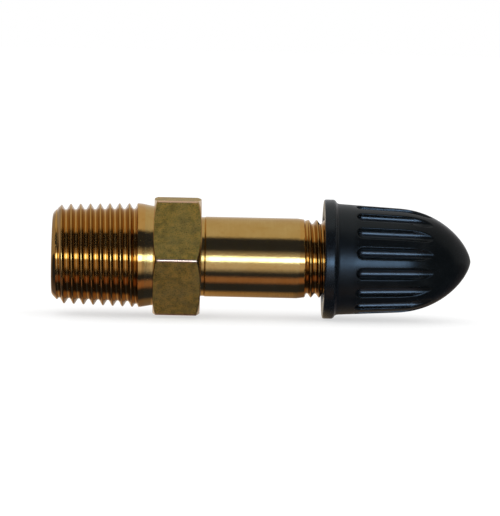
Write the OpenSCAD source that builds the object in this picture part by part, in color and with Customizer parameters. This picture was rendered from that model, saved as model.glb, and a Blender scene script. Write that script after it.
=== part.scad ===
// Automatic air vent. A turned brass stem with a taper pipe thread, a spanner hexagon and
// a plain barrel, a spring valve core inside it, and a fluted plastic cap on the outlet.
// Millimetres. The axis is X, the inlet face is at X = 0, the cap points to +X, and two
// flats of the hexagon face up and down (Z).

/* [Inlet] */
// length from the inlet face to the hexagon
inlet_len = 9.8; // [9.6:0.05:10.4]
// pitch of the taper pipe thread, 27 turns to the inch
pipe_pitch = 0.9407; // [0.93:0.0001:0.95]
// crest radius of the pipe thread at the inlet face
pipe_crest_r = 4.78; // [4.76:0.01:4.84]
// root radius of the pipe thread at the inlet face
pipe_root_r = 4.24; // [4.2:0.01:4.35]
// radius of the plain neck between the pipe thread and the hexagon
neck_r = 4.84; // [4.8:0.01:4.9]
// radius of the drilled inlet bore
inlet_bore_r = 1.65; // [1.6:0.01:2.2]
// length of the drilled inlet bore
inlet_bore_len = 8.3; // [7.6:0.1:9.4]

/* [Hexagon and barrel] */
// size of the hexagon across its flats
hex_af = 11; // [10.8:0.05:11.4]
// length of the hexagon
hex_len = 4.55; // [4.3:0.05:4.8]
// radius of the plain barrel
barrel_r = 3.87; // [3.84:0.01:3.95]
// length of the plain barrel up to its end chamfer
barrel_len = 9.42; // [9.2:0.02:9.6]

/* [Cap thread] */
// pitch of the straight cap thread, 32 turns to the inch
cap_pitch = 0.79375; // [0.79:0.00005:0.8]
// crest radius of the cap thread on the stem
cap_crest_r = 3.76; // [3.74:0.01:3.79]
// root radius of the cap thread on the stem
cap_root_r = 3.38; // [3.34:0.01:3.4]
// distance from the inlet face to the stem's mouth
mouth_x = 32; // [31.95:0.01:32.02]

/* [Core thread] */
// pitch of the thread that holds the valve core, 36 turns to the inch
core_pitch = 0.70556; // [0.704:0.00002:0.708]
// crest radius of the core plug's thread
core_crest_r = 2.62; // [2.6:0.01:2.64]
// root radius of the core plug's thread
core_root_r = 2.3; // [2.27:0.01:2.32]
// radial gap between each thread and its mate
thread_gap = 0.1; // [0.08:0.01:0.12]

/* [Cap] */
// position of the cap's open face
cap_x = 26.3; // [26.2:0.05:26.4]
// length of the cap
cap_len = 14.2; // [14.1:0.05:14.6]
// radius of the cap's flange
flange_r = 5.77; // [5.7:0.01:5.9]
// thickness of the cap's flange
flange_t = 1.07; // [0.95:0.01:1.15]
// radius of the cap just past the flange
cap_base_r = 5.37; // [5.3:0.01:5.42]
// radius of the cap where the nose begins
cap_nose_r = 5.055; // [5:0.005:5.1]
// distance from the cap's open face to the start of the nose
nose_from = 7.05; // [6.9:0.05:7.2]
// number of grip flutes
flute_count = 16; // [12:1:18]
// width of a flute
flute_w = 1.05; // [0.9:0.05:1.15]
// radius of the flute floor at the flange end
flute_floor_r = 4.58; // [4.52:0.01:4.7]

/* [Valve core] */
// radius of the valve pin
pin_r = 0.42; // [0.38:0.01:0.43]
// radius of the pin's head
pin_head_r = 0.8; // [0.7:0.01:0.9]
// mean radius of the spring
spring_r = 1.02; // [0.99:0.01:1.08]
// radius of the spring wire
wire_r = 0.15; // [0.12:0.01:0.17]
// number of spring coils
coils = 8; // [6:1:9]

/* [Hidden] */
$fn = 96;
seg = 30;                                // facets to one turn of a thread
hex_x = inlet_len;                       // left face of the hexagon
barrel_x = hex_x + hex_len;              // left end of the barrel
barrel_end = barrel_x + barrel_len;      // start of the barrel's end chamfer
cap_thread_x = barrel_end + 0.63;        // start of the cap thread
hex_cr = hex_af / 2 / cos(30);           // radius over the hexagon's corners
hex_ch_out = 0.38;                       // chamfer depth on the barrel side
hex_ch_in = 0.3;                         // chamfer depth on the thread side
ledge_x = 12.35;                         // ledge under the spring seat
chamber_r = 1.75;                        // bore the poppet works in
cone_x0 = 22.6;                          // narrow end of the sealing cone
cone_x1 = 24.9;                          // wide end of the sealing cone
cone_r1 = 2.42;                          // radius at its wide end
plug_x = 27;                             // lower face of the core plug
seat_x = 21.42;                          // rim of the core barrel that the washer closes on
shoulder_x = 32.66;                      // shoulder in the cap behind the sealing ring
cap_taper = (cap_base_r - cap_nose_r) / (nose_from - flange_t - 0.24);  // of the cap's side

BRASS = [0.76, 0.58, 0.30];
BLACK = [0.06, 0.06, 0.07];
RUBBER = [0.12, 0.12, 0.12];
STEEL = [0.72, 0.72, 0.74];

module along_x() rotate([0, 90, 0]) children();

// a turned shape: half section given as [x, r] points
module turned(pts) along_x() rotate_extrude() polygon([for (p = pts) [p[1], p[0]]]);

module rod(r, x0, x1) translate([x0, 0, 0]) along_x() cylinder(r = r, h = x1 - x0);

// A threaded rod along Z, right hand, longer than the stretch that is kept of it. The crest
// passes angle 180 at height z_crest, and again every pitch. The first full turn of its end
// lies between z0 and z0 + 2 pitches. Radii grow by taper per unit of z; the whole profile
// climbs out with slope run_k below run_lo and above run_hi, where a cutter leaves the work.
module thread_rod(pitch, z_crest, z0, turns, root0, crest0, flat_root, flat_crest,
                  taper = 0, run_lo = -1e6, run_hi = 1e6, run_k = 0) {
    n = turns * seg;
    zc = z_crest - pitch / 2;
    start = zc + pitch * ceil((z0 + pitch / 2 - zc) / pitch - 0.001);
    prof = [[-pitch / 2 + flat_root / 2, 0], [-flat_crest / 2, 1],
            [flat_crest / 2, 1], [pitch / 2 - flat_root / 2, 0]];
    m = len(prof);
    pts = [for (i = [0:n], p = prof)
        let (t = 360 * i / seg, z = start + pitch * i / seg + p[0],
             r = (p[1] == 1 ? crest0 : root0) + taper * z
                 + run_k * (max(0, z - run_hi) + max(0, run_lo - z)))
        [r * cos(t), r * sin(t), z]];
    c0 = len(pts);
    lo = [0, 0, start - pitch * 0.6];
    hi = [0, 0, start + pitch * turns + pitch * 0.6];
    loop0 = concat([for (i = [0:seg]) i * m], [for (p = [m - 1:-1:1]) p]);
    loop1 = concat([for (i = [n - seg:n]) i * m + m - 1], [for (p = [m - 2:-1:0]) n * m + p]);
    k0 = len(loop0);
    k1 = len(loop1);
    faces = concat(
        [for (i = [0:n - 1], p = [0:m - 2]) each
            [[i * m + p, i * m + p + 1, (i + 1) * m + p],
             [i * m + p + 1, (i + 1) * m + p + 1, (i + 1) * m + p]]],
        [for (i = [0:n - seg - 1]) each
            [[i * m + m - 1, (i + seg) * m, (i + 1) * m + m - 1],
             [(i + seg) * m, (i + seg + 1) * m, (i + 1) * m + m - 1]]],
        [for (q = [0:k0 - 1]) [c0, loop0[q], loop0[(q + 1) % k0]]],
        [for (q = [0:k1 - 1]) [c0 + 1, loop1[(q + 1) % k1], loop1[q]]]);
    polyhedron(concat(pts, [lo, hi]), faces, convexity = 10);
}

// ---------------------------------------------------------------- brass stem
module pipe_thread() intersection() {
    turned([[0, 0], [0, 3.95], [0.5, 4.42], [0.92, pipe_crest_r + 0.08],
            [7.9, pipe_crest_r + 7.9 / 32 + 0.05], [8.75, 4.95], [9.3, neck_r + 0.02],
            [hex_x + 0.5, neck_r - 0.04], [hex_x + 0.5, 0]]);
    along_x() thread_rod(pipe_pitch, 0.783, -2.2, 16, pipe_root_r, pipe_crest_r, 0.16, 0.13,
                         taper = 1 / 32, run_hi = 7.35, run_k = 0.62);
}

module hexagon() intersection() {
    translate([hex_x, 0, 0]) along_x() rotate([0, 0, 30]) cylinder(r = hex_cr, h = hex_len, $fn = 6);
    turned([[hex_x, 0], [hex_x, hex_cr - 0.74], [hex_x + hex_ch_in, hex_cr + 0.01],
            [barrel_x - hex_ch_out, hex_cr + 0.01], [barrel_x, hex_cr - 0.82], [barrel_x, 0]]);
}

// the right end of the barrel with the cap thread on it
module cap_thread() intersection() {
    turned([[barrel_end - 0.6, 0], [barrel_end - 0.6, barrel_r], [barrel_end, barrel_r],
            [cap_thread_x, cap_crest_r + 0.03], [mouth_x - 0.55, cap_crest_r + 0.03],
            [mouth_x, cap_root_r - 0.1], [mouth_x, 0]]);
    along_x() thread_rod(cap_pitch, 24.7, barrel_end - 2.6, 15, cap_root_r, cap_crest_r,
                         0.14, 0.12, run_lo = 24.62, run_k = 1.1);
}

module bore() {
    turned([[-1, 0], [-1, inlet_bore_r + 1.3], [0.3, inlet_bore_r],
            [inlet_bore_len, inlet_bore_r], [inlet_bore_len + 0.2, 1.45], [ledge_x, 1.45],
            [ledge_x, chamber_r], [cone_x0, chamber_r], [cone_x1, cone_r1], [25.85, cone_r1],
            [25.85, core_crest_r + thread_gap + 0.03], [26.85, core_crest_r + thread_gap + 0.03],
            [26.95, core_root_r + thread_gap + 0.02],
            [mouth_x - 0.35, core_root_r + thread_gap + 0.02], [mouth_x + 0.4, 3.17],
            [mouth_x + 0.4, 0]]);
    along_x() thread_rod(core_pitch, 25.97, 25.97, 11, core_root_r + thread_gap,
                         core_crest_r + thread_gap, 0.12, 0.1);
}

module valve_body() color(BRASS) difference() {
    union() {
        pipe_thread();
        hexagon();
        turned([[barrel_x - 1, 0], [barrel_x - 1, barrel_r], [barrel_x, barrel_r],
                [barrel_x, barrel_r - 0.05], [barrel_x + 0.35, barrel_r - 0.05],
                [barrel_x + 0.4, barrel_r], [barrel_end - 0.6, barrel_r],
                [barrel_end - 0.6, 0]]);
        cap_thread();
    }
    bore();
}

// ---------------------------------------------------------------- cap
// the side's own taper carried on, rounded over to the tip
function nose(t) = (cap_nose_r - cap_taper * (cap_len - nose_from) * t) * pow(max(0, 1 - pow(t, 2.2)), 0.65);

module cap_outside() {
    nose_len = cap_len - nose_from;
    turned(concat(
        [[cap_x, 0], [cap_x, flange_r - 0.22], [cap_x + 0.06, flange_r - 0.07],
         [cap_x + 0.22, flange_r], [cap_x + flange_t - 0.25, flange_r],
         [cap_x + flange_t - 0.07, flange_r - 0.08], [cap_x + flange_t + 0.03, flange_r - 0.24],
         [cap_x + flange_t + 0.24, cap_base_r]],
        [for (i = [0:26]) let (t = sin(90 * i / 26)) [cap_x + nose_from + nose_len * t, i == 26 ? 0 : nose(t)]]));
}

// one flute: a ball-ended groove whose floor falls towards the nose
module flute(a) rotate([a, 0, 0])
    translate([cap_x + 3.0 + flute_w / 2, 0, flute_floor_r + flute_w / 2]) rotate([0, 2.6, 0]) {
        sphere(r = flute_w / 2);
        along_x() cylinder(r = flute_w / 2, h = 12);
        cylinder(r = flute_w / 2, h = 2);
        translate([0, -flute_w / 2, 0]) cube([12, flute_w, 2]);
    }

module cap_inside() {
    turned([[cap_x - 1, 0], [cap_x - 1, 4.9], [cap_x + 0.3, 3.95], [27.2, 3.95],
            [27.6, cap_root_r + thread_gap + 0.02], [31.2, cap_root_r + thread_gap + 0.02],
            [31.2, 3.95], [shoulder_x, 3.95], [shoulder_x, 2.85], [36.2, 2.85], [37.0, 2.6],
            [37.8, 1.95], [38.3, 1.2], [38.5, 0]]);
    intersection() {
        along_x() thread_rod(cap_pitch, 24.7, 24.6, 11, cap_root_r + thread_gap,
                             cap_crest_r + thread_gap, 0.14, 0.12);
        rod(4.5, 26.2, 32.4);
    }
}

module dust_cap() color(BLACK) difference() {
    cap_outside();
    cap_inside();
    for (i = [0:flute_count - 1]) flute((i + 0.5) * 360 / flute_count);
}

module cap_gasket() color(RUBBER)
    turned([[mouth_x + 0.03, 2.95], [mouth_x + 0.03, 3.6], [mouth_x + 0.13, 3.7],
            [mouth_x + 0.5, 3.7], [mouth_x + 0.6, 3.6], [mouth_x + 0.6, 2.95]]);

// ---------------------------------------------------------------- valve core
module core_plug() color(BRASS) difference() {
    union() {
        intersection() {
            turned([[plug_x, 0], [plug_x, core_root_r - 0.1], [plug_x + 0.35, core_crest_r + 0.02],
                    [plug_x + 2.1, core_crest_r + 0.02], [plug_x + 2.4, core_root_r],
                    [plug_x + 2.4, 0]]);
            along_x() thread_rod(core_pitch, 25.97, 25.2, 8, core_root_r, core_crest_r,
                                 0.12, 0.1);
        }
        intersection() {
            translate([plug_x + 2, -0.85, -3]) cube([1.2, 1.7, 6]);
            turned([[plug_x + 1.5, 0], [plug_x + 1.5, 2.2], [plug_x + 3, 2.2], [plug_x + 3.2, 2],
                    [plug_x + 3.2, 0]]);
        }
    }
    difference() {
        turned([[plug_x - 1, 0], [plug_x - 1, 1.25], [plug_x + 0.65, 1.25], [plug_x + 0.65, 1.6],
                [plug_x + 2.6, 1.6], [plug_x + 2.6, 0]]);
        translate([plug_x + 1.7, -0.85, -3]) cube([1.2, 1.7, 6]);
    }
    rod(pin_r + 0.08, plug_x - 1, plug_x + 4);
}

module core_barrel() color(BRASS) difference() {
    turned([[seat_x, 0], [seat_x, 1.15], [22.05, 1.35], [22.2, 1.66], [22.72, 1.66],
            [22.75, 1.5], [25.05, 1.5], [25.05, 2.05], [25.15, 2.15], [plug_x - 0.15, 2.15],
            [plug_x - 0.05, 2.05], [plug_x - 0.05, 1.18], [plug_x + 0.7, 1.18],
            [plug_x + 0.7, 1.5], [plug_x + 1.05, 1.45], [plug_x + 1.05, 0]]);
    rod(0.95, seat_x - 1, plug_x + 2);
}

module barrel_gasket() color([0.55, 0.12, 0.1])
    turned([[22.8, 1.51], [22.8, 1.775], [24.68, 2.325], [24.98, 2.325], [24.98, 1.51]]);

module valve_pin() color(STEEL)
    turned(concat([[11.1, 0]], [for (a = [10:10:130]) [11.7 - 0.6 * cos(a), 0.6 * sin(a)]],
                  [[12.15, pin_r], [31.35, pin_r], [31.42, pin_head_r - 0.05],
                   [31.5, pin_head_r], [31.8, pin_head_r], [31.9, pin_head_r - 0.12],
                   [31.9, 0]]));

module poppet_cup() color(BRASS)
    turned([[20, pin_r + 0.01], [20, 0.7], [20.4, 0.78], [20.4, 1.4], [20.45, 1.45],
            [21.2, 1.45], [21.2, 1.33], [20.75, 1.33], [20.75, pin_r + 0.01]]);

module cup_washer() color(RUBBER)
    turned([[20.76, pin_r + 0.02], [20.76, 1.31], [21.3, 1.31], [21.39, 1.22],
            [21.39, pin_r + 0.02]]);

// share of the spring's height reached at share u of the wire; the end coils lie nearly flat
function climb(u, flat) = let (e = 0.75, v = min(max(u * coils - e, 0), coils - 2 * e) / (coils - 2 * e))
    v * (1 - 2 * flat) + (min(u * coils, e) + max(0, u * coils - coils + e)) / e * flat;

// coil spring: wire section swept round the axis as one closed strip of rings
module core_spring() color(STEEL) {
    x0 = 12.97 + wire_r;
    x1 = 20.38 - wire_r;
    step = 20;
    ring = 8;
    n = coils * step;
    pts = [for (i = [0:n], k = [0:ring - 1])
        let (u = i / n, t = 360 * coils * u, q = 360 * (k + 0.5) / ring, w = wire_r / cos(180 / ring) * 0.99,
             r = spring_r + w * cos(q))
        [x0 + (x1 - x0) * climb(u, 2 * wire_r / (x1 - x0)) + w * sin(q), r * cos(t), r * sin(t)]];
    faces = concat(
        [for (i = [0:n - 1], k = [0:ring - 1]) each
            [[i * ring + k, (i + 1) * ring + k, i * ring + (k + 1) % ring],
             [(i + 1) * ring + k, (i + 1) * ring + (k + 1) % ring, i * ring + (k + 1) % ring]]],
        [[for (k = [0:ring - 1]) k]],
        [[for (k = [ring - 1:-1:0]) n * ring + k]]);
    polyhedron(pts, faces, convexity = 12);
}

module spring_seat() color(BRASS) difference() {
    turned([[12.37, 0], [12.37, 1.55], [12.44, 1.62], [12.9, 1.62], [12.95, 1.55],
            [12.95, 0.8], [13.5, 0.74], [13.5, 0]]);
    rod(pin_r + 0.05, 12, 14);
    for (i = [0:2]) rotate([i * 120 + 60, 0, 0]) translate([0, 0, 1.75]) rod(0.48, 12, 14);
}

valve_body();
dust_cap();
cap_gasket();
core_plug();
core_barrel();
barrel_gasket();
valve_pin();
poppet_cup();
cup_washer();
core_spring();
spring_seat();
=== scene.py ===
import bpy, bmesh, math
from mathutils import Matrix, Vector, noise


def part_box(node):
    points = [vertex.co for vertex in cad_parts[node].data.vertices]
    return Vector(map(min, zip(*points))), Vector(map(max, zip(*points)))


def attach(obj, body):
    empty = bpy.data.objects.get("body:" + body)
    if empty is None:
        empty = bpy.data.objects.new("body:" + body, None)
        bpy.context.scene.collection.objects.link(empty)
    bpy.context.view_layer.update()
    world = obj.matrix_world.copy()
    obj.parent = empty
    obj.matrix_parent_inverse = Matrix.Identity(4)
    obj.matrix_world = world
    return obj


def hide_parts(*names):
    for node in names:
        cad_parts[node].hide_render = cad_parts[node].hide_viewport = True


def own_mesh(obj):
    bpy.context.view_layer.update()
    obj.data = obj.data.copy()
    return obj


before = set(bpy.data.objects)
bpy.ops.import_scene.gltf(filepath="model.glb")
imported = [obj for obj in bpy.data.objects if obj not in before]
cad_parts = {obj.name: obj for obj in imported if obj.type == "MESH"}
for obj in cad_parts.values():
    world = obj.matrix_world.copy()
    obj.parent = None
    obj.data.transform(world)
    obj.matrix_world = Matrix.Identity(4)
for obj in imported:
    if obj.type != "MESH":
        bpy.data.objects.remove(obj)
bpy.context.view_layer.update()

MM = 0.001
TAU = 2 * math.pi


def rad(d):
    return math.radians(d)


def lerp(a, b, t):
    return a + (b - a) * t


def smooth(t):
    t = min(max(t, 0.0), 1.0)
    return t * t * (3 - 2 * t)


def along(pts, x):
    """radius at x on a line through [(x, r), ...]"""
    if x <= pts[0][0]:
        return pts[0][1]
    for (xa, ra), (xb, rb) in zip(pts, pts[1:]):
        if x <= xb:
            return lerp(ra, rb, (x - xa) / (xb - xa)) if xb > xa else rb
    return pts[-1][1]


# ------------------------------------------------------------------ places, from the frame
body_lo, body_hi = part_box("valve_body")
cap_lo, cap_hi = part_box("dust_cap")
X0 = body_lo.x / MM                       # inlet face
MOUTH = body_hi.x / MM                    # outlet mouth
CAPX = cap_lo.x / MM                      # open face of the cap
CAPL = (cap_hi.x - cap_lo.x) / MM
HEX_R = body_hi.y / MM                    # over the corners (the boss along Y)
AF2 = body_hi.z / MM                      # half the size across the flats
FLANGE_R = cap_hi.z / MM
HEXX = X0 + 9.8
BARX = HEXX + 4.55
BAREND = BARX + 9.42
CTX = BAREND + 0.63
BARREL_R = 3.87
PIPE_P = 0.9407
CAP_P = 0.79375
CORE_P = 0.70556
NFL = 16                                  # flutes round the cap
FL_X = CAPX + 3.0                         # where a flute of the cap starts
FL_W = 0.525                              # half width of a flute


# ------------------------------------------------------------------ mesh building
class Lathe:
    """A skin round the X axis, built ring by ring. Angles run from +Y towards +Z; sizes in mm."""

    def __init__(self, thetas):
        self.t = list(thetas)
        self.n = len(self.t)
        self.v, self.f, self.m = [], [], []
        self.last = None
        self.mat = 0

    def add(self, x, r, t):
        self.v.append((x, r * math.cos(t), r * math.sin(t)))
        return len(self.v) - 1

    def face(self, ids):
        self.f.append(ids)
        self.m.append(self.mat)

    def join(self, a, b):
        for i in range(self.n):
            j = (i + 1) % self.n
            self.face((a[i], a[j], b[j], b[i]))

    def ring(self, x, r):
        xs = x if callable(x) else (lambda t: x)
        rs = r if callable(r) else (lambda t: r)
        ids = [self.add(xs(t), rs(t), t) for t in self.t]
        if self.last:
            self.join(self.last, ids)
        self.last = ids
        return ids

    def rings(self, pts):
        for x, r in pts:
            self.ring(x, r)

    def spiral(self, crest90, pitch, prof, x0, x1, radius, back=False):
        """Helical rows from x0 to x1. prof is [(u, h)] over one pitch, u 0 at the crest; radius(x, h, t)."""
        k = len(prof)
        xc = crest90 - pitch * 0.25
        q0 = math.floor((x0 - xc) / pitch) - 1
        q1 = math.ceil((x1 - xc) / pitch) + 1
        rows = []
        for q in range(q0, q1 + 1):
            for u, h in prof:
                row = []
                for t in self.t:
                    x = xc + (q + u) * pitch + pitch * t / TAU
                    x = min(max(x, x0), x1)
                    row.append(self.add(x, radius(x, h if x0 < x < x1 else None, t), t))
                rows.append(row)
        for a, b in zip(rows, rows[1:]):
            for i in range(self.n - 1):
                self.face((a[i], a[i + 1], b[i + 1], b[i]))
        i = self.n - 1
        for j in range(len(rows) - 1 - k):
            self.face((rows[j][i], rows[j + k][0], rows[j + 1 + k][0], rows[j + 1][i]))
        for j in range(len(rows) - 1 - k, len(rows) - 1):
            self.face((rows[j][i], rows[-1][0], rows[-1][0], rows[j + 1][i]))
        first, end = (rows[-1], rows[0]) if back else (rows[0], rows[-1])
        if self.last:
            self.join(self.last, first)
        self.last = end
        return rows

    def close(self, first):
        self.join(self.last, first)

    def cap(self, x):
        """closes the last ring with a point on the axis"""
        self.v.append((x, 0.0, 0.0))
        c = len(self.v) - 1
        for i in range(self.n):
            self.face((self.last[i], self.last[(i + 1) % self.n], c))


def mesh_object(name, verts, faces, mats, mat_index=None, sharp=38.0, weld=2e-4):
    me = bpy.data.meshes.new(name)
    ok = []
    idx = []
    for k, f in enumerate(faces):
        g = []
        for i in f:
            if i not in g:
                g.append(i)
        if len(g) > 2:
            ok.append(g)
            idx.append(mat_index[k] if mat_index else 0)
    me.from_pydata([(x * MM, y * MM, z * MM) for x, y, z in verts], [], ok)
    me.polygons.foreach_set("material_index", idx)
    bm = bmesh.new()
    bm.from_mesh(me)
    bmesh.ops.remove_doubles(bm, verts=bm.verts, dist=weld * MM)
    bmesh.ops.dissolve_degenerate(bm, edges=bm.edges, dist=weld * MM * 0.5)
    loose = [v for v in bm.verts if not v.link_faces]
    bmesh.ops.delete(bm, geom=loose, context="VERTS")
    bmesh.ops.recalc_face_normals(bm, faces=bm.faces)
    if bm.calc_volume(signed=True) < 0:
        bmesh.ops.reverse_faces(bm, faces=bm.faces)
    lim = rad(sharp)
    for f in bm.faces:
        f.smooth = True
    for e in bm.edges:
        e.smooth = not (len(e.link_faces) == 2 and e.calc_face_angle(0.0) > lim)
    open_edges = sum(1 for e in bm.edges if len(e.link_faces) != 2)
    if open_edges:
        print("OPEN EDGES", name, open_edges)
    bm.to_mesh(me)
    bm.free()
    for m in mats:
        me.materials.append(m)
    o = bpy.data.objects.new(name, me)
    bpy.context.scene.collection.objects.link(o)
    return o


def circle(n):
    return [TAU * i / n for i in range(n)]


def turned(name, pts, mats, n=96, closed=True, sharp=38.0):
    """A lathe part: a ring profile when closed, else from axis point to axis point."""
    L = Lathe(circle(n))
    if closed:
        L.rings(pts)
        first = list(range(n))
        L.close(first)
    else:
        L.rings(pts[1:-1])
        lo = len(L.v)
        L.v.append((pts[0][0], 0.0, 0.0))
        for i in range(n):
            L.face((i, (i + 1) % n, lo))
        L.cap(pts[-1][0])
    return mesh_object(name, L.v, L.f, mats, L.m, sharp)


def rounded(pts, r, steps=3, closed=True):
    """Rounds the corners of a profile by up to r."""
    out = []
    n = len(pts)
    for i, p in enumerate(pts):
        if not closed and i in (0, n - 1):
            out.append(p)
            continue
        a, b = Vector(pts[i - 1]), Vector(pts[(i + 1) % n])
        c = Vector(p)
        da, db = (a - c), (b - c)
        k = min(r, da.length * 0.45, db.length * 0.45)
        if k < 1e-4:
            out.append(p)
            continue
        pa, pb = c + da.normalized() * k, c + db.normalized() * k
        for s in range(steps + 1):
            t = s / steps
            q = pa * (1 - t) ** 2 + c * 2 * t * (1 - t) + pb * t ** 2
            out.append((q.x, q.y))
    return out


# ------------------------------------------------------------------ materials
class Nodes:
    def __init__(self, name):
        self.m = bpy.data.materials.new(name)
        self.m.use_nodes = True
        self.t = self.m.node_tree
        self.t.nodes.clear()
        self.out = self.t.nodes.new("ShaderNodeOutputMaterial")

    def n(self, kind, inputs=None, **props):
        d = self.t.nodes.new("ShaderNode" + kind)
        for k, v in props.items():
            setattr(d, k, v)
        for k, v in (inputs or {}).items():
            self.put(d, k, v)
        return d

    def put(self, node, key, v):
        s = node.inputs[key]
        if isinstance(v, tuple) and len(v) == 2 and hasattr(v[0], "outputs"):
            self.t.links.new(v[0].outputs[v[1]], s)
        elif hasattr(v, "outputs"):
            self.t.links.new(v.outputs[0], s)
        else:
            s.default_value = v

    def mm(self, scale=(1, 1, 1)):
        """object position in mm, scaled"""
        c = self.n("TexCoord")
        return self.n("Mapping", {"Vector": (c, "Object"), "Scale": tuple(1000 * s for s in scale)})

    def noise(self, scale, detail=3.0, rough=0.55, freq=(1, 1, 1), dist=0.0):
        return self.n("TexNoise", {"Vector": self.mm(freq), "Scale": scale, "Detail": detail,
                                   "Roughness": rough, "Distortion": dist})

    def ramp(self, fac, stops, ease="LINEAR"):
        r = self.n("ValToRGB")
        r.color_ramp.interpolation = ease
        e = r.color_ramp.elements
        while len(e) < len(stops):
            e.new(0.5)
        for el, (p, c) in zip(e, stops):
            el.position = p
            el.color = (*c, 1) if isinstance(c, tuple) else (c, c, c, 1)
        self.put(r, "Fac", fac)
        return r

    def math(self, op, a, b=0.0, clamp=False):
        r = self.n("Math", operation=op, use_clamp=clamp)
        self.put(r, 0, a)
        self.put(r, 1, b)
        return r

    def mix(self, fac, a, b, mode="MIX"):
        r = self.n("MixRGB", blend_type=mode)
        self.put(r, "Fac", fac)
        self.put(r, "Color1", a if not (isinstance(a, tuple) and not hasattr(a[0], "outputs")) else (*a, 1))
        self.put(r, "Color2", b if not (isinstance(b, tuple) and not hasattr(b[0], "outputs")) else (*b, 1))
        return r

    def bump(self, height, dist_mm, strength=1.0, normal=None):
        r = self.n("Bump", {"Height": height, "Distance": dist_mm * MM, "Strength": strength})
        if normal:
            self.put(r, "Normal", normal)
        return r

    def bsdf(self, **kw):
        b = self.n("BsdfPrincipled")
        for k, v in kw.items():
            self.put(b, k.replace("_", " "), v if not (isinstance(v, tuple) and len(v) == 3) else (*v, 1))
        self.t.links.new(b.outputs[0], self.out.inputs[0])
        return b


def turned_brass(name, colour=(0.80, 0.515, 0.17), rough=0.11, marks=1.0, flanks=False):
    """turned brass; flanks=True for threads: their flanks get a darker colour than their crests and roots, painted
    shade in the thread grooves, and the roughness of the whole thread is evened out
    """
    k = Nodes(name)
    broad = k.noise(0.55, 2)
    fine = k.noise(1.0, 2, 0.6, freq=(9, 0.5, 0.5))
    lines = k.noise(1.0, 1, 0.5, freq=(26, 0.35, 0.35))
    spots = k.noise(2.2, 4, 0.65)
    c1 = k.mix(k.ramp(broad, [(0.3, 0.0), (0.7, 1.0)]), colour, tuple(a * b for a, b in zip(colour, (0.93, 0.86, 0.74))))
    c2 = k.mix(k.ramp(spots, [(0.56, 0.0), (0.8, 0.55)]), c1, tuple(a * b for a, b in zip(colour, (0.82, 0.66, 0.45))))
    c3 = k.mix(k.ramp(fine, [(0.35, 0.0), (0.75, 0.35)]), c2, tuple(a * b for a, b in zip(colour, (0.86, 0.80, 0.66))))
    r = k.math("ADD", k.math("MULTIPLY", fine, 0.07), rough - 0.035)
    r2 = k.math("ADD", r, k.math("MULTIPLY", spots, 0.05), clamp=True)
    speck = k.noise(4.0, 3, 0.7)
    b1 = k.bump(lines, 0.0010 * marks, 1.0)
    b2 = k.bump(fine, 0.0022 * marks, 1.0, b1)
    b3 = k.bump(spots, 0.0035 * marks, 0.6, b2)
    b3 = k.bump(speck, 0.0048 * marks * marks, 1.0, b3)
    tan = k.n("Tangent", direction_type="RADIAL", axis="X")
    if flanks:
        # painted shade: the thread flanks, found by the normal's X part, are given a darker brass colour
        nx = k.math("ABSOLUTE", (k.n("SeparateXYZ", {0: (k.n("TexCoord"), "Normal")}), 0))
        f = k.n("MapRange", {0: nx, 1: 0.45, 2: 0.8, 3: 0.0, 4: 1.0}, interpolation_type="SMOOTHSTEP")
        c3 = k.mix(k.math("MULTIPLY", f, 0.9), c3, (0.55, 0.31, 0.095))
        r2 = k.math("ADD", k.math("MULTIPLY", r2, 0.3), 0.055, clamp=True)
    k.bsdf(Base_Color=c3, Metallic=1.0, Roughness=r2, Anisotropic=0.35, Anisotropic_Rotation=0.25,
           Normal=b3, Tangent=tan)
    return k.m


def bar_brass(name):
    """drawn hexagon bar, dull and mottled"""
    k = Nodes(name)
    mott = k.noise(1.5, 5, 0.65)
    blot = k.noise(0.5, 2, 0.5)
    draw = k.noise(1.0, 2, 0.5, freq=(0.5, 7, 7))
    grit = k.noise(9, 3, 0.6)
    base = (0.89, 0.56, 0.115)
    c = k.mix(k.ramp(mott, [(0.38, 0.0), (0.60, 1.0)]), (0.52, 0.35, 0.08), base)
    c = k.mix(k.ramp(blot, [(0.35, 0.0), (0.7, 0.5)]), c, (0.62, 0.45, 0.14))
    c = k.mix(k.ramp(grit, [(0.52, 0.0), (0.68, 0.75)]), c, (0.24, 0.14, 0.035))
    xyz = k.n("SeparateXYZ", {0: k.mm()})
    rr = k.math("SQRT", k.math("ADD", k.math("POWER", (xyz, 1), 2.0), k.math("POWER", (xyz, 2), 2.0)))
    # painted highlight: the rounded corners get a lighter colour, and less roughness as a polished edge
    edge = k.n("MapRange", {0: rr, 1: HEX_R - 0.10, 2: HEX_R - 0.055, 3: 0.0, 4: 1.0})
    c = k.mix(edge, c, (1.0, 0.63, 0.40))
    r = k.math("ADD", k.math("MULTIPLY", mott, 0.16), 0.44)
    r = k.math("SUBTRACT", r, k.math("MULTIPLY", edge, 0.3), clamp=True)
    b = k.bump(grit, 0.006, 0.7, k.bump(draw, 0.003, 0.8, k.bump(mott, 0.02, 0.6)))
    k.bsdf(Base_Color=c, Metallic=1.0, Roughness=r, Normal=b)
    return k.m


def bore_brass(name):
    k = Nodes(name)
    lines = k.noise(1.0, 2, 0.5, freq=(14, 0.6, 0.6))
    blot = k.noise(0.9, 3)
    c = k.mix(k.ramp(blot, [(0.3, 0.0), (0.7, 1.0)]), (0.62, 0.40, 0.14), (0.48, 0.29, 0.085))
    r = k.math("ADD", k.math("MULTIPLY", blot, 0.15), 0.28)
    k.bsdf(Base_Color=c, Metallic=1.0, Roughness=r, Normal=k.bump(lines, 0.003, 0.8))
    return k.m


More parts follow.
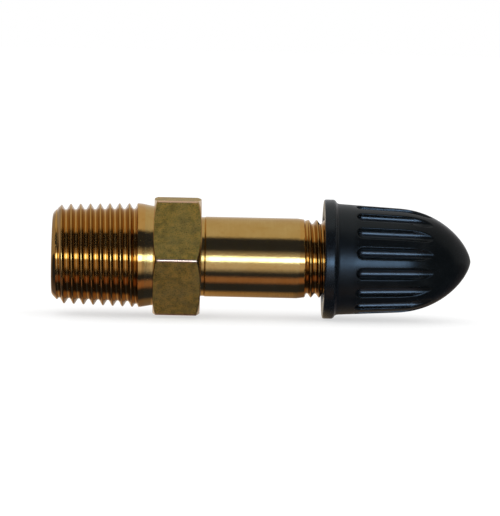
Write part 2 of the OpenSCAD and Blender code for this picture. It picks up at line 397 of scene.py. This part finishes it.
def black_plastic(name):
    k = Nodes(name)
    grain = k.noise(7, 3, 0.6)
    wave = k.noise(0.7, 2)
    scuff = k.noise(2.4, 5, 0.7, freq=(1, 1, 1))
    c = k.mix(k.ramp(wave, [(0.3, 0.0), (0.7, 1.0)]), (0.0022, 0.0030, 0.0032), (0.0034, 0.0044, 0.0048))
    c = k.mix(k.ramp(scuff, [(0.58, 0.0), (0.82, 0.5)]), c, (0.008, 0.010, 0.012))
    r = k.math("ADD", k.math("MULTIPLY", scuff, 0.12), 0.10)
    r = k.math("ADD", r, k.math("MULTIPLY", wave, 0.06))
    x = k.n("SeparateXYZ", {0: k.mm()})
    matt = k.n("MapRange", {0: x, 1: FL_X - 0.5, 2: FL_X + 0.1, 3: 0.17, 4: 0.06})
    flange = k.n("MapRange", {0: x, 1: CAPX + 1.05, 2: CAPX + 1.25, 3: 0.10, 4: 0.0})
    r = k.math("SUBTRACT", k.math("ADD", r, matt), flange, clamp=True)
    beads = k.noise(1.0, 1, 0.4, freq=(5.5, 0.9, 0.9))
    b = k.bump(grain, 0.003, 0.6, k.bump(wave, 0.02, 0.5, k.bump(beads, 0.007, 0.8)))
    # the flutes get a far higher specular level than the lands between them, a painted highlight on the same plastic;
    # they are also made a little rougher
    yz = k.n("SeparateXYZ", {0: k.mm()})
    turn = k.math("FRACT", k.math("MULTIPLY", k.math("ARCTAN2", (yz, 2), (yz, 1)), NFL / TAU))
    off = k.math("ABSOLUTE", k.math("SUBTRACT", turn, 0.5))
    rad_mm = k.math("SQRT", k.math("ADD", k.math("POWER", (yz, 1), 2.0), k.math("POWER", (yz, 2), 2.0)))
    off = k.math("MULTIPLY", k.math("MULTIPLY", off, rad_mm), TAU / NFL)
    flute = k.n("MapRange", {0: off, 1: FL_W - 0.07, 2: FL_W + 0.02, 3: 1.0, 4: 0.0})
    flute = k.math("MULTIPLY", flute, k.n("MapRange", {0: x, 1: FL_X + 0.05, 2: FL_X + 0.25, 3: 0.0, 4: 1.0}))
    flute = k.math("MULTIPLY", flute, k.n("MapRange", {0: x, 1: CAPX + 8.4, 2: CAPX + 9.5, 3: 1.0, 4: 0.0}))
    # the specular level is higher on the shoulder and flange and lower towards the nose: painted sheen and shade along
    # one plastic
    s = k.n("MapRange", {0: x, 1: FL_X - 0.5, 2: FL_X + 0.1, 3: 0.42, 4: 0.33})
    s = k.math("SUBTRACT", s, k.n("MapRange", {0: x, 1: CAPX + 7.0, 2: CAPX + 10.5, 3: 0.0, 4: 0.17}))
    s = k.math("ADD", s, k.n("MapRange", {0: x, 1: CAPX + 1.05, 2: CAPX + 1.25, 3: 0.10, 4: 0.0}))
    s = k.math("ADD", s, k.math("MULTIPLY", flute, 0.62))
    r = k.math("ADD", r, k.math("MULTIPLY", flute, 0.05), clamp=True)
    # the bluish specular tint colours the plastic's reflections: a painted tint on its highlights
    k.bsdf(Base_Color=c, Metallic=0.0, Roughness=r, IOR=1.5, Specular_IOR_Level=s,
           Specular_Tint=(0.86, 0.96, 1.0), Normal=b)
    return k.m


def rubber(name, colour=(0.02, 0.02, 0.02)):
    k = Nodes(name)
    g = k.noise(6, 3, 0.6)
    w = k.noise(1.2, 2)
    c = k.mix(k.ramp(w, [(0.3, 0.0), (0.7, 1.0)]), colour, tuple(1.6 * x for x in colour))
    r = k.math("ADD", k.math("MULTIPLY", g, 0.2), 0.5)
    k.bsdf(Base_Color=c, Roughness=r, Normal=k.bump(g, 0.006, 0.7))
    return k.m


def steel(name):
    k = Nodes(name)
    g = k.noise(1.0, 2, 0.5, freq=(12, 3, 3))
    w = k.noise(1.0, 3)
    c = k.mix(k.ramp(w, [(0.3, 0.0), (0.7, 1.0)]), (0.60, 0.59, 0.57), (0.46, 0.45, 0.43))
    r = k.math("ADD", k.math("MULTIPLY", w, 0.14), 0.22)
    k.bsdf(Base_Color=c, Metallic=1.0, Roughness=r, Normal=k.bump(g, 0.002, 0.8))
    return k.m


M_TURNED = turned_brass("turned_brass")
M_THREAD = turned_brass("thread_brass", (0.82, 0.47, 0.135), 0.07, 0.2, flanks=True)
M_HEX = bar_brass("bar_brass")
M_BORE = bore_brass("bore_brass")
M_CAP = black_plastic("moulded_black")
M_RUBBER = rubber("ring_rubber")
M_RED = rubber("seal_red", (0.30, 0.025, 0.015))
M_STEEL = steel("drawn_steel")


# ------------------------------------------------------------------ the stem
V_PROFILE = [(0.0, 1.0), (0.035, 0.995), (0.065, 0.965), (0.1, 0.88), (0.16, 0.71), (0.23, 0.51),
             (0.30, 0.31), (0.355, 0.155), (0.40, 0.06), (0.445, 0.012), (0.5, 0.0), (0.555, 0.012),
             (0.60, 0.06), (0.645, 0.155), (0.70, 0.31), (0.77, 0.51), (0.84, 0.71), (0.90, 0.88),
             (0.935, 0.965), (0.965, 0.995)]


def stem_angles():
    t = {round(2.5 * i, 3) for i in range(144)}
    for c in range(0, 360, 60):
        for d in (0.25, 0.5, 0.75, 1.1, 1.6):
            t.add(round((c + d) % 360, 3))
            t.add(round((c - d) % 360, 3))
    return [rad(a) for a in sorted(t)]


def hex_radius(t, rho=0.30):
    """distance to the hexagon's side at angle t, corners at 0, 60 ... rounded with radius rho"""
    d = math.degrees(t) % 60
    d = min(d, 60 - d)                       # angle from the nearest corner
    c = (AF2 - rho) / math.cos(rad(30))
    lim = math.atan2(rho * 0.5, c + rho * math.cos(rad(30)))
    a = rad(d)
    if a < lim:
        return c * math.cos(a) + math.sqrt(max(0.0, rho * rho - (c * math.sin(a)) ** 2))
    return AF2 / math.cos(rad(30) - a)


def build_stem():
    L = Lathe(stem_angles())
    PC, PR = 4.78, 4.24
    env = [(X0, 3.93), (X0 + 0.5, 4.42), (X0 + 0.92, PC + 0.08), (X0 + 7.9, PC + 7.9 / 32 + 0.04),
           (X0 + 8.55, 5.01), (X0 + 8.66, 5.0), (X0 + 9.05, 4.925), (X0 + 9.5, 4.84), (HEXX, 4.81)]
    L.mat = 1
    first = L.ring(X0, 1.95)
    L.rings([(X0, 2.4), (X0, 3.3), (X0, 3.78), (X0 + 0.01, 3.86), (X0 + 0.05, 3.93),
             (X0 + 0.12, 4.045), (X0 + 0.22, 4.145)])
    L.mat = 1

    def pipe_r(x, h, t):
        e = along(env, x) if x > X0 + 0.05 else 3.93
        e = min(e, 3.93 + (x - X0) * 0.98)
        if h is None:
            return e
        climb = 1.15 * max(0.0, x - X0 - 8.05)
        root = PR + (x - X0) / 32 + climb
        r = root + h * (PC - PR)
        wob = noise.noise(Vector((x * 0.9, 2.2 * math.cos(t), 2.2 * math.sin(t))))
        r += 0.012 * wob * h
        return min(e, r)

    L.spiral(X0 + 0.783, PIPE_P, V_PROFILE, X0 + 0.29, X0 + 8.95, pipe_r)
    L.mat = 0
    L.rings([(X0 + 9.1, along(env, X0 + 9.1)), (X0 + 9.5, 4.84), (HEXX - 0.12, 4.815)])
    L.rings([(HEXX - 0.04, 4.82), (HEXX, 4.86)])
    # hexagon, with its two turned chamfers
    L.mat = 0
    rc1, k1 = HEX_R - 0.74, 0.4
    rc2, k2 = HEX_R - 0.82, 0.458
    L.ring(HEXX, 5.15)
    L.ring(HEXX, lambda t: min(rc1, hex_radius(t)) - 0.07)

    def left(r, f=0.0):
        return HEXX + max(0.0, r - rc1) * k1 + f

    def right(r, f=0.0):
        return BARX - max(0.0, r - rc2) * k2 - f

    L.ring(lambda t: left(hex_radius(t) - 0.06), lambda t: hex_radius(t) - 0.06)
    L.ring(lambda t: left(hex_radius(t)) + 0.012, lambda t: hex_radius(t) - 0.02)
    L.mat = 2
    L.ring(lambda t: left(hex_radius(t)) + 0.05, lambda t: hex_radius(t))
    for s in (0.06, 0.2, 0.35, 0.5, 0.65, 0.8, 0.94):
        L.ring(lambda t, s=s: lerp(left(hex_radius(t)) + 0.05, right(hex_radius(t)) - 0.05, s), hex_radius)
    L.ring(lambda t: right(hex_radius(t)) - 0.05, hex_radius)
    L.mat = 0
    L.ring(lambda t: right(hex_radius(t)) - 0.012, lambda t: hex_radius(t) - 0.02)
    L.ring(lambda t: right(hex_radius(t) - 0.06), lambda t: hex_radius(t) - 0.06)
    L.ring(lambda t: BARX - 0.01, lambda t: min(rc2, hex_radius(t) - 0.06) - 0.02)
    L.rings([(BARX, 5.3), (BARX, 4.6), (BARX, 3.95), (BARX + 0.02, 3.86), (BARX + 0.07, 3.82),
             (BARX + 0.3, 3.82), (BARX + 0.38, 3.835), (BARX + 0.44, BARREL_R - 0.005),
             (BARX + 0.52, BARREL_R)])
    n = 24
    for i in range(1, n):
        L.ring(lerp(BARX + 0.52, BAREND - 0.12, i / n), BARREL_R)
    L.rings([(BAREND - 0.12, BARREL_R), (BAREND - 0.03, BARREL_R - 0.006), (BAREND + 0.08, BARREL_R - 0.022)])
    cenv = [(BAREND + 0.08, BARREL_R - 0.022), (CTX, 3.775), (MOUTH - 0.55, 3.79), (MOUTH, 3.28)]
    L.mat = 1

    def cap_r(x, h, t):
        e = along(cenv, x)
        if h is None:
            return e
        root = 3.38 + 1.1 * max(0.0, 24.62 - x)
        r = root + h * 0.38
        r += 0.008 * noise.noise(Vector((x * 1.1, 2 * math.cos(t), 2 * math.sin(t) + 9))) * h
        return min(e, r)

    L.spiral(24.7, CAP_P, V_PROFILE, BAREND + 0.16, MOUTH - 0.02, cap_r)
    L.mat = 0
    L.rings([(MOUTH, 3.26), (MOUTH, 3.05), (MOUTH, 2.78), (MOUTH - 0.02, 2.74)])
    # inside: core thread, sealing cone, chamber, ledge and inlet bore
    L.mat = 3
    ienv = [(26.85, 2.75), (26.95, 2.42), (MOUTH - 0.35, 2.42), (MOUTH - 0.04, 2.73)]

    def core_r(x, h, t):
        e = along(ienv, x)
        return e if h is None else max(e, 2.40 + h * 0.32)

    L.spiral(25.97, CORE_P, V_PROFILE, 26.86, MOUTH - 0.05, core_r, back=True)
    L.rings([(26.8, 2.75), (26.2, 2.75), (25.9, 2.75), (25.85, 2.70), (25.85, 2.45), (25.83, 2.42),
             (24.95, 2.42), (24.88, 2.412), (23.8, 2.10), (22.65, 1.765), (22.55, 1.75), (20.0, 1.75),
             (16.0, 1.75), (12.4, 1.75), (12.35, 1.72), (12.35, 1.48), (12.32, 1.45), (10.5, 1.45),
             (8.52, 1.45), (8.48, 1.46), (8.32, 1.63), (8.28, 1.65), (6.0, 1.65), (3.0, 1.65),
             (0.34, 1.65), (0.28, 1.67)])
    L.mat = 3
    L.close(first)
    o = mesh_object("stem", L.v, L.f, [M_TURNED, M_THREAD, M_HEX, M_BORE], L.m, 34)
    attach(o, "stem")
    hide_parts("valve_body")
    return o


# ------------------------------------------------------------------ the cap
FL_F = 0.11                               # rounding of its edge
NL = 6


def nose_r(x):
    """radius of the cap past its flange"""
    s = x - CAPX
    base = 5.37 - (5.37 - 5.055) * (s - 1.31) / (7.05 - 1.31)
    t = (s - 7.05) / (CAPL - 7.05)
    if t <= 0:
        return base
    return base * max(0.0, 1 - t ** 2.2) ** 0.65


def floor_r(x):
    return 4.58 - math.tan(rad(2.6)) * (x - FL_X - FL_W)


def build_cap():
    S = rad(360 / NFL / 2)
    verts, faces = [], []
    rows = []

    def emit(half):
        """half: list of (x, y', z') from the land's middle to the flute's middle, on the negative side"""
        row = []
        full = list(half) + [(x, -y, z) for x, y, z in reversed(half[1:-1])]
        for k in range(NFL):
            c = (k + 0.5) * TAU / NFL        # angle of this flute's middle
            ct, st = math.cos(c), math.sin(c)
            for x, y, z in full:
                # y' runs against the angle, z' is the direction of the flute's middle
                verts.append((x, z * ct + y * st, z * st - y * ct))
                row.append(len(verts) - 1)
        rows.append(row)

    def polar(x, r, a):
        return (x, r * math.sin(a), r * math.cos(a))

    def plain(x, r):
        half = [polar(x, r, S * (1 - k / NL)) for k in range(NL)]
        half += [polar(x, r, 0.0)] * 8
        emit(half)

    def cut(x, alpha=90.0, f=FL_F):
        a = rad(alpha)
        px = x if alpha >= 90 else FL_X + FL_W * (1 - math.cos(a))
        dx = FL_W * math.cos(a) if alpha < 90 else 0.0
        c = floor_r(max(px, FL_X + FL_W)) + FL_W
        R = nose_r(px)
        ze = (R * R + c * c - FL_W * FL_W) / (2 * c)
        if ze >= c:
            w = FL_W * math.sin(a) if alpha < 90 else FL_W
            top = math.sqrt(max(0.0, R * R - w * w))
            low = c
        else:
            w = math.sqrt(max(0.0, R * R - ze * ze))
            top = low = ze
        f = min(f, 0.45 * max(0.0, R - (c - FL_W)), 0.8 * (top - (c - FL_W)))
        ox, oy = (-math.cos(a), math.sin(a)) if alpha < 90 else (0.0, 1.0)
        ex, ey = px + f * ox, w + f * oy
        Re = nose_r(ex)
        ez = math.sqrt(max(0.0, Re * Re - ey * ey))
        ae = math.atan2(ey, ez)
        half = []
        for k in range(NL):
            s = k / NL
            xx = lerp(px, ex, s * s)
            half.append(polar(xx, nose_r(xx), lerp(S, ae, s)))
        half.append((ex, ey, ez))
        half.append((px + 0.38 * f * ox, w + 0.38 * f * oy, lerp(top, ez, 0.5) - 0.16 * f))
        if ze >= c:
            half.append((px, w, top - 0.85 * f))
        else:
            y = max(0.0, w - 0.7 * f)
            half.append((px, y, c - math.sqrt(max(0.0, FL_W ** 2 - y * y))))
        wb = w if ze >= c else max(0.0, w - 0.9 * f)
        for b in (90, 67.5, 45, 22.5, 0):
            y = wb * math.sin(rad(b))
            half.append((px, y, c - math.sqrt(max(0.0, FL_W ** 2 - y * y - dx * dx))))
        emit(half[:NL + 3] + half[NL + 3:])

    # flange and shoulder
    prof = rounded([(CAPX - 0.1, 4.25), (CAPX - 0.1, FLANGE_R), (CAPX + 0.93, FLANGE_R), (CAPX + 1.17, 5.39),
                    (CAPX + 1.6, nose_r(CAPX + 1.6))], 0.2, 5, closed=False)
    for x, r in prof:
        plain(x, r)
    for s in (1.9, 2.3, 2.6, 2.8):
        plain(CAPX + s, nose_r(CAPX + s))
    plain(FL_X - FL_F, nose_r(FL_X - FL_F))
    for al in (8, 18, 30, 43, 58, 74):
        cut(0, al)
    # straight part of the flutes, up to where their walls run out
    def ze_less(x):
        c = floor_r(x) + FL_W
        R = nose_r(x)
        return (R * R + c * c - FL_W ** 2) / (2 * c) - c
    a, b = FL_X + FL_W, CAPX + 12.0
    for _ in range(60):
        m = (a + b) / 2
        if ze_less(m) > 0:
            a = m
        else:
            b = m
    x_wall = a
    a, b = x_wall, CAPX + 13.0
    for _ in range(60):
        m = (a + b) / 2
        if nose_r(m) > floor_r(m):
            a = m
        else:
            b = m
    x_end = a
    n = 14
    for i in range(n + 1):
        cut(lerp(FL_X + FL_W, x_wall, i / n))
    n = 12
    for i in range(1, n):
        cut(lerp(x_wall, x_end, math.sin(rad(90 * i / n))))
    for s in (0.0, 0.12):
        plain(x_end + s, nose_r(x_end + s))
    n = 20
    tip = CAPX + CAPL
    for i in range(1, n):
        x = lerp(x_end + 0.12, tip, math.sin(rad(90 * i / n)))
        plain(x, nose_r(x))
    verts.append((tip, 0.0, 0.0))
    point = len(verts) - 1
    m = len(rows[0])
    for a, b in zip(rows, rows[1:]):
        for i in range(m):
            j = (i + 1) % m
            faces.append((a[i], a[j], b[j], b[i]))
    for i in range(m):
        faces.append((rows[-1][i], rows[-1][(i + 1) % m], point))
    # inside
    n = NFL * NL * 2
    L = Lathe([TAU * i / n for i in range(n)])
    L.rings([(CAPX - 0.1, 4.25), (CAPX + 0.2, 3.965), (CAPX + 0.34, 3.95), (27.2, 3.95)])
    ienv = [(27.2, 3.95), (27.6, 3.5), (31.2, 3.5)]

    def thread_r(x, h, t):
        e = along(ienv, x)
        if h is None:                        # the thread opens into the relief behind it
            return 3.93 if x > 31.0 else e
        return max(e, 3.48 + 0.38 * h)

    L.spiral(24.7, CAP_P, V_PROFILE, 27.21, 31.18, thread_r)
    L.rings([(31.2, 3.93), (31.23, 3.95), (32.0, 3.95), (32.6, 3.95), (32.66, 3.9),
             (32.66, 3.4), (32.66, 2.9), (32.7, 2.85), (34.5, 2.85), (36.1, 2.85), (36.5, 2.79),
             (37.0, 2.6), (37.4, 2.34), (37.8, 1.97), (38.1, 1.58), (38.3, 1.2), (38.43, 0.75),
             (38.48, 0.35)])
    L.cap(38.5)
    off = len(verts)
    verts += L.v
    faces += [tuple(i + off for i in f) for f in L.f]
    o = mesh_object("cap", verts, faces, [M_CAP], None, 72)
    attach(o, "cap")
    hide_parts("dust_cap")
    return o


# ------------------------------------------------------------------ seal and valve core
def build_cap_seal():
    pts = rounded([(32.03, 2.95), (32.03, 3.6), (32.13, 3.7), (32.53, 3.7), (32.63, 3.6), (32.63, 2.95)], 0.07, 3)
    o = turned("cap_ring_seal", pts, [M_RUBBER], 96)
    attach(o, "cap_seal")
    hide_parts("cap_gasket")


def build_plug():
    L = Lathe(circle(120))
    env = [(27.0, 2.2), (27.35, 2.64), (29.1, 2.64), (29.4, 2.3)]

    def rr(x, h, t):
        e = along(env, x)
        return e if h is None else min(e, 2.30 + 0.32 * h)

    first = L.ring(27.0, 1.29)
    L.rings([(27.0, 1.4), (27.0, 2.1), (27.01, 2.19)])
    L.spiral(25.97, CORE_P, V_PROFILE, 27.03, 29.37, rr)
    L.rings([(29.4, 2.26), (29.4, 2.1), (29.4, 1.66), (29.37, 1.61), (29.33, 1.6), (28.2, 1.6), (27.66, 1.6),
             (27.65, 1.58), (27.65, 1.28), (27.62, 1.25), (27.05, 1.25)])
    L.close(first)
    # the tongue across the top, with its hole for the pin
    def out(t, d=0.0):
        c = abs(math.cos(t))
        return min(2.2 - d, (0.85 - d) / c if c > 1e-6 else 9)
    edge = math.degrees(math.acos(0.85 / 2.2))
    angles = sorted({round(3.0 * i, 3) for i in range(120)} |
                    {round(a + d, 3) for a in (edge, 180 - edge, 180 + edge, 360 - edge) for d in (-0.6, 0, 0.6)})
    T = Lathe([rad(a) for a in angles])
    f2 = T.ring(28.7, 0.5)
    T.ring(28.7, lambda t: 0.5 * (0.5 + out(t)))
    T.ring(28.7, lambda t: out(t, 0.03))
    T.ring(28.73, out)
    T.ring(29.6, out)
    T.ring(30.1, lambda t: min(out(t), 2.12))
    T.ring(30.17, lambda t: min(out(t, 0.02), 2.05))
    T.ring(30.2, lambda t: min(out(t, 0.07), 1.98))
    T.ring(30.2, lambda t: lerp(0.56, min(out(t, 0.07), 1.98), 0.5))
    T.ring(30.2, 0.57)
    T.ring(30.18, 0.52)
    T.ring(30.13, 0.5)
    T.close(f2)
    off = len(L.v)
    o = mesh_object("core_head", L.v + T.v, L.f + [tuple(i + off for i in f) for f in T.f], [M_TURNED])
    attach(o, "core_nut")
    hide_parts("core_plug")


def build_core():
    pts = [(21.42, 0.95), (21.42, 1.13), (21.45, 1.16), (22.05, 1.35), (22.2, 1.63), (22.24, 1.66), (22.69, 1.66),
           (22.73, 1.63), (22.76, 1.5), (24.9, 1.5), (25.05, 1.52), (25.05, 2.02), (25.08, 2.08), (25.15, 2.13),
           (25.2, 2.15), (26.8, 2.15), (26.87, 2.13), (26.93, 2.07), (26.95, 2.02), (26.95, 1.22), (27.0, 1.18),
           (27.66, 1.18), (27.7, 1.22), (27.72, 1.48), (27.78, 1.5), (28.0, 1.46), (28.05, 1.43), (28.05, 1.0),
           (28.02, 0.95), (24.0, 0.95)]
    o = turned("core_sleeve", pts, [M_TURNED], 96)
    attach(o, "core")
    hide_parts("core_barrel")
    pts = rounded([(22.8, 1.51), (22.8, 1.775), (24.68, 2.325), (24.98, 2.325), (24.98, 1.51)], 0.06, 3)
    o = turned("core_taper_seal", pts, [M_RED], 96)
    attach(o, "core")
    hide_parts("barrel_gasket")
    # spring seat: a stamped disc with three passages and a hub
    angles = {round(3.0 * i, 3) for i in range(120)}
    for c in (30, 150, 270):
        for d in (11, 12.5, 14, 15, 15.6, 15.9, 16.2, 17):
            angles |= {float(c - d), float(c + d)}
    L = Lathe([rad(a) for a in sorted(angles)])

    def notch(t, R, g=0.0):
        d = (math.degrees(t) - 30) % 120
        d = rad(min(d, 120 - d))
        q = (0.48 + g) ** 2 - (1.75 * math.sin(d)) ** 2
        return min(R, 1.75 * math.cos(d) - math.sqrt(q)) if q > 0 else R

    def r(R, g=0.0):
        return lambda t: notch(t, R, g)
    first = L.ring(12.37, 0.47)
    L.ring(12.37, 0.9)
    L.ring(12.37, r(1.55, 0.02))
    L.ring(12.39, r(1.59))
    L.ring(12.44, r(1.62))
    L.ring(12.88, r(1.62))
    L.ring(12.93, r(1.59))
    L.ring(12.95, r(1.55, 0.02))
    L.rings([(12.95, 1.0), (12.95, 0.84), (12.97, 0.805), (13.02, 0.79), (13.44, 0.745), (13.49, 0.72),
             (13.5, 0.68), (13.5, 0.52), (13.48, 0.48), (13.42, 0.47)])
    L.close(first)
    o = mesh_object("spring_disc", L.v, L.f, [M_TURNED])
    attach(o, "core")
    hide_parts("spring_seat")
    # spring
    wire, coils, R = 0.15, 8, 1.02
    x0, x1 = 12.97 + wire, 20.38 - wire
    flat = 2 * wire / (x1 - x0)

    def climb(u):
        e = 0.75
        v = min(max(u * coils - e, 0), coils - 2 * e) / (coils - 2 * e)
        return v * (1 - 2 * flat) + (min(u * coils, e) + max(0, u * coils - coils + e)) / e * flat
    n, ring = coils * 36, 14
    v, f = [], []
    for i in range(n + 1):
        u = i / n
        t = TAU * coils * u
        x = x0 + (x1 - x0) * climb(u)
        for k in range(ring):
            q = TAU * k / ring
            rr = R + wire * math.cos(q)
            v.append((x + wire * math.sin(q), rr * math.cos(t), rr * math.sin(t)))
    for i in range(n):
        for k in range(ring):
            a, b = i * ring + k, i * ring + (k + 1) % ring
            f.append((a, b, b + ring, a + ring))
    f.append(tuple(range(ring)))
    f.append(tuple(n * ring + k for k in range(ring)))
    o = mesh_object("coil_spring", v, f, [M_STEEL])
    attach(o, "core")
    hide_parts("core_spring")
    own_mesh(o)


def build_poppet():
    pts = [(11.1, 0.0)] + [(11.7 - 0.6 * math.cos(rad(a)), 0.6 * math.sin(rad(a))) for a in range(6, 133, 6)]
    pts += [(12.13, 0.435), (12.18, 0.42), (20.0, 0.42), (31.33, 0.42), (31.36, 0.46), (31.42, 0.74), (31.45, 0.78),
            (31.5, 0.80), (31.78, 0.80), (31.83, 0.78), (31.89, 0.70), (31.9, 0.64), (31.9, 0.0)]
    o = turned("pin", pts, [M_STEEL], 48, closed=False)
    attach(o, "poppet")
    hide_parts("valve_pin")
    pts = rounded([(20, 0.43), (20, 0.7), (20.4, 0.78), (20.4, 1.40), (20.45, 1.45), (21.2, 1.45), (21.2, 1.33),
                   (20.75, 1.33), (20.75, 0.43)], 0.03, 2)
    o = turned("pin_cup", pts, [M_TURNED], 72)
    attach(o, "poppet")
    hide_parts("poppet_cup")
    pts = rounded([(20.76, 0.44), (20.76, 1.31), (21.3, 1.31), (21.39, 1.22), (21.39, 0.44)], 0.05, 3)
    o = turned("pin_washer", pts, [M_RUBBER], 72)
    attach(o, "poppet")
    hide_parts("cup_washer")


stem = build_stem()
cap = build_cap()
build_cap_seal()
build_plug()
build_core()
build_poppet()


# ------------------------------------------------------------------ floor
def build_floor():
    z = cap_lo.z - 0.00005
    bm = bmesh.new()
    ring0 = [bm.verts.new((0.02 + 1.2 * math.cos(a), 1.2 * math.sin(a), z)) for a in circle(64)]
    bm.faces.new(ring0)
    me = bpy.data.meshes.new("floor")
    bm.to_mesh(me)
    bm.free()
    k = Nodes("floor_white")
    n = k.noise(0.02, 2)
    c = k.mix(k.ramp(n, [(0.3, 0.0), (0.7, 1.0)]), (0.40, 0.40, 0.40), (0.38, 0.38, 0.38))
    k.bsdf(Base_Color=c, Roughness=0.9, Specular_IOR_Level=0.0, Emission_Color=(1.0, 1.0, 1.0),
           Emission_Strength=0.6)
    me.materials.append(k.m)
    o = bpy.data.objects.new("floor", me)
    bpy.context.scene.collection.objects.link(o)
    o.visible_glossy = False


build_floor()


# ------------------------------------------------------------------ light
def build_world():
    w = bpy.data.worlds.new("studio")
    bpy.context.scene.world = w
    w.use_nodes = True
    t = w.node_tree
    t.nodes.clear()

    def n(kind, inputs=None, **props):
        d = t.nodes.new("ShaderNode" + kind)
        for k, v in props.items():
            setattr(d, k, v)
        for k, v in (inputs or {}).items():
            if isinstance(v, tuple) and hasattr(v[0], "outputs"):
                t.links.new(v[0].outputs[v[1]], d.inputs[k])
            elif hasattr(v, "outputs"):
                t.links.new(v.outputs[0], d.inputs[k])
            else:
                d.inputs[k].default_value = v
        return d
    co = n("TexCoord")
    xyz = n("SeparateXYZ", {0: (co, "Generated")})
    neg = n("Math", {0: (xyz, 1), 1: -1.0}, operation="MULTIPLY")
    ang = n("Math", {0: (xyz, 2), 1: neg}, operation="ARCTAN2")

    # bands of light round the part, by angle: 0 degrees faces the camera, 90 is overhead
    def step(a, b):
        return n("MapRange", {0: ang, 1: rad(a), 2: rad(b), 3: 0.0, 4: 1.0}, interpolation_type="SMOOTHSTEP")

    def band(rise, fall, colour):
        f = step(*rise) if rise else None
        if fall:
            g = n("Math", {0: 1.0, 1: step(*fall)}, operation="SUBTRACT")
            f = n("Math", {0: f, 1: g}, operation="MULTIPLY") if f else g
        return n("MixRGB", {"Fac": f, "Color1": (0, 0, 0, 1), "Color2": (*colour, 1)})

    def total(parts):
        c = parts[0]
        for p in parts[1:]:
            c = n("MixRGB", {"Fac": 1.0, "Color1": c, "Color2": p}, blend_type="ADD")
        return c
    dim = n("RGB")
    dim.outputs[0].default_value = (0.023, 0.030, 0.060, 1)
    # the front panel's bright core, stronger towards the cap's end
    lean = n("MapRange", {0: (xyz, 0), 1: -0.035, 2: 0.004, 3: 0.45, 4: 1.0})
    core = n("MixRGB", {"Fac": lean, "Color1": (0, 0, 0, 1), "Color2": band((-12, -5), (1, 8), (3.6, 5.6, 8.4))})
    # the table's far edge, dimmer towards the cap's end
    fade = n("MapRange", {0: (xyz, 0), 1: 0.012, 2: 0.035, 3: 1.0, 4: 0.4})
    low = n("MixRGB", {"Fac": fade, "Color1": (0, 0, 0, 1), "Color2": band(None, (-124, -107), (0.36, 0.25, 0.11))})
    front = total([dim,
                   band((57, 68), None, (0.47, 0.465, 0.44)),              # overhead panel
                   band((140, 178), None, (0.18, 0.18, 0.20)),
                   band((-44, -24), (4, 27), (0.50, 0.51, 0.60)),          # glow of the front panel
                   core,
                   band((-82, -68), (-61, -50), (0.25, 0.135, 0.078)),     # bounce off the table
                   low,
                   band(None, (-178, -150), (0.34, 0.34, 0.32))])
    # further to the sides only the overhead panel is bright
    side = total([dim,
                  band((70, 90), None, (0.36, 0.34, 0.31)),
                  band(None, (-142, -120), (0.10, 0.075, 0.05)),
                  band(None, (-178, -150), (0.34, 0.34, 0.32))])
    ax = n("Math", {0: (xyz, 0), 1: 0.0}, operation="ABSOLUTE")
    aside = n("MapRange", {0: ax, 1: 0.28, 2: 0.46, 3: 0.0, 4: 1.0}, interpolation_type="SMOOTHSTEP")
    env = n("MixRGB", {"Fac": aside, "Color1": front, "Color2": side})

    # two narrow upright panels, one at each side
    def upright(at, half, level):
        d = n("Math", {0: (xyz, 0), 1: at}, operation="SUBTRACT")
        d = n("Math", {0: d, 1: 0.0}, operation="ABSOLUTE")
        a = n("MapRange", {0: d, 1: half * 0.6, 2: half, 3: level, 4: 0.0}, interpolation_type="SMOOTHSTEP")
        g = n("MapRange", {0: neg, 1: 0.15, 2: 0.4, 3: 0.0, 4: 1.0}, interpolation_type="SMOOTHSTEP")
        return n("Math", {0: a, 1: g}, operation="MULTIPLY")
    panels = n("Math", {0: upright(0.60, 0.025, 0.9), 1: upright(-0.60, 0.025, 0.6)}, operation="ADD")
    r = n("MixRGB", {"Fac": 1.0, "Color1": env, "Color2": panels}, blend_type="ADD")
    path = n("LightPath")
    soft = n("Background", {"Color": (1, 1, 1, 1), "Strength": 1.3})
    refl = n("Background", {"Color": r, "Strength": 1.0})
    seen = n("Background", {"Color": (1, 1, 1, 1), "Strength": 1.0})
    a = n("MixShader", {0: (path, "Is Glossy Ray"), 1: soft, 2: refl})
    b = n("MixShader", {0: (path, "Is Camera Ray"), 1: a, 2: seen})
    out = n("OutputWorld", {"Surface": b})
    # the panels are seen by reflections only, so the world isn't sampled as a lamp
    w.cycles.sampling_method = "NONE"


build_world()


# ------------------------------------------------------------------ camera
def build_camera():
    target = Vector((19.13, 0, -0.055)) * MM
    dist, el, side, roll = 0.370, rad(4.3), rad(1.1), rad(1.28)
    d = Vector((-math.sin(side) * math.cos(el), -math.cos(side) * math.cos(el), math.sin(el)))
    cam = bpy.data.cameras.new("camera")
    cam.sensor_width = 36
    cam.sensor_fit = "HORIZONTAL"
    cam.lens = 275.2
    cam.clip_start = 0.01
    o = bpy.data.objects.new("camera", cam)
    o.location = target + d * dist
    q = (-d).to_track_quat("-Z", "Y")
    from mathutils import Quaternion
    o.rotation_euler = (q @ Quaternion((0, 0, 1), roll)).to_euler()
    bpy.context.scene.collection.objects.link(o)
    bpy.context.scene.camera = o


build_camera()
bpy.context.scene.view_settings.view_transform = "Standard"
